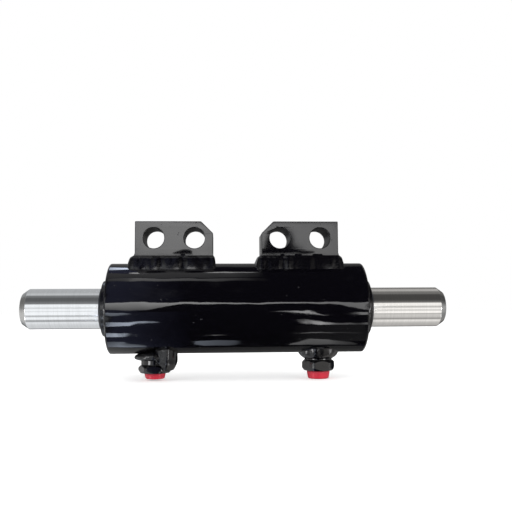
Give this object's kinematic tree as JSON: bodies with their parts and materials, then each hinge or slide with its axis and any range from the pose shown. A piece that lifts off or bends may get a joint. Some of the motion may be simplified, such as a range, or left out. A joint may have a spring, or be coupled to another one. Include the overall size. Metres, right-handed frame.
{
  "type": "hydraulic steering cylinder",
  "caption": "Double-rod hydraulic steering cylinder: welded barrel with bolt-on lugs, plugged oil ports and a chromed through rod that slides out of both ends.",
  "frame": {"origin": "middle of the four bolt holes in the two lugs, halfway through the lugs' thickness", "axes": "+X along the rod, towards the right in the picture; +Y square to the lugs, away from the camera of the picture; +Z from the barrel towards the lugs"},
  "size_m": [0.338, 0.072, 0.1258],
  "materials": {
    "black_paint": "gloss",
    "chrome_plate": "ground and plated",
    "turned_steel": "turned",
    "spring_steel": "phosphated",
    "seal_rubber": "matte",
    "wiper_rubber": "satin",
    "guide_resin": "matte",
    "slipper_resin": "satin",
    "red_plastic": "satin"
  },
  "bodies": {
    "barrel": {"barrel_tube": "black_paint", "left_mounting_lug": "black_paint", "right_mounting_lug": "black_paint", "left_lug_weld": "black_paint", "right_lug_weld": "black_paint", "left_port_boss": "black_paint", "right_port_boss": "black_paint", "left_port_weld": "black_paint", "right_port_weld": "black_paint", "left_port_adapter": "black_paint", "right_port_adapter": "black_paint", "left_adapter_o_ring": "seal_rubber", "right_adapter_o_ring": "seal_rubber", "left_port_plug": "red_plastic", "right_port_plug": "red_plastic", "left_gland": "black_paint", "right_gland": "black_paint", "left_gland_o_ring": "seal_rubber", "right_gland_o_ring": "seal_rubber", "left_gland_backup_ring": "slipper_resin", "right_gland_backup_ring": "slipper_resin", "left_rod_seal": "seal_rubber", "right_rod_seal": "seal_rubber", "left_rod_wiper": "wiper_rubber", "right_rod_wiper": "wiper_rubber", "left_rod_guide_ring": "guide_resin", "right_rod_guide_ring": "guide_resin"},
    "piston_seals": {"piston_seal_ring": "slipper_resin", "piston_seal_energizer": "seal_rubber", "left_piston_guide_ring": "guide_resin", "right_piston_guide_ring": "guide_resin"},
    "rod": {"piston_rod": "chrome_plate", "piston": "turned_steel", "piston_bore_o_ring": "seal_rubber", "left_piston_circlip": "spring_steel", "right_piston_circlip": "spring_steel"}
  },
  "joints": [
    {"name": "rod_slide", "type": "slide", "parent": "barrel", "child": "piston_seals", "axis": [1, 0, 0], "range_m": [-0.0495, 0.0505]},
    {"name": "rod_turn", "type": "hinge", "parent": "piston_seals", "child": "rod", "pos_m": [-0.0005, 0, -0.0555], "axis": [1, 0, 0], "continuous": true}
  ]
}
